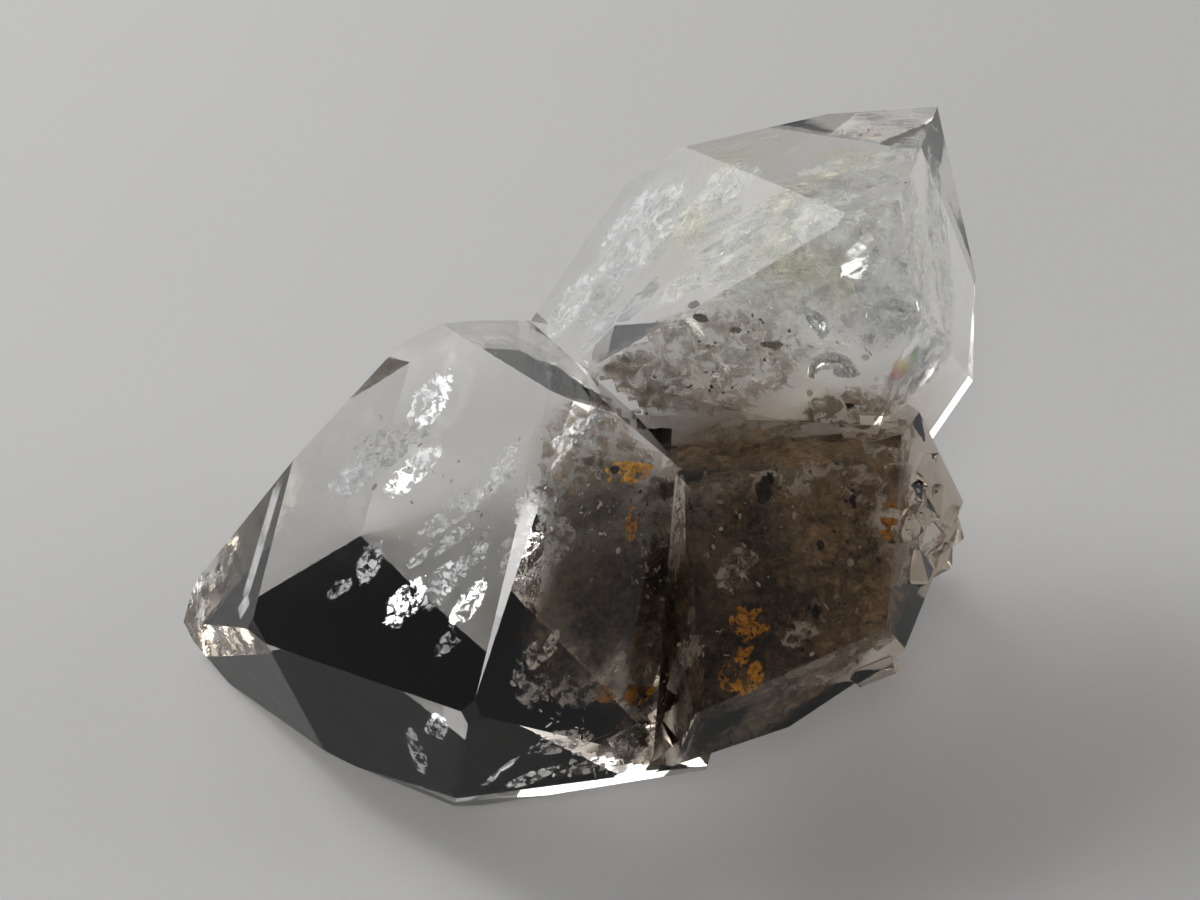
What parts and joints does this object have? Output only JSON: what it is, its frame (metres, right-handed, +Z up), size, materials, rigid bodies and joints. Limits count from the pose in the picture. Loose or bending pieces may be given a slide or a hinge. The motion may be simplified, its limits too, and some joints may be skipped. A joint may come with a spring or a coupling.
{
  "type": "herkimer diamond",
  "caption": "Cluster of stout, grown-together quartz crystals, one clear, one milky and one smoky with dark and rust-coloured inclusions, lying on a small flat spot.",
  "frame": {"origin": "centre of the bounding box, on the surface the cluster rests on", "axes": "+Z up, +X along the cluster from the clear crystal to the smoky mass, +Y to the back"},
  "size_m": [0.0588, 0.0426, 0.0398],
  "materials": {
    "quartz": "clear natural crystal faces, smoky brown and milky in places"
  },
  "bodies": {
    "root": {"crystal_cluster": "quartz"}
  },
  "joints": []
}
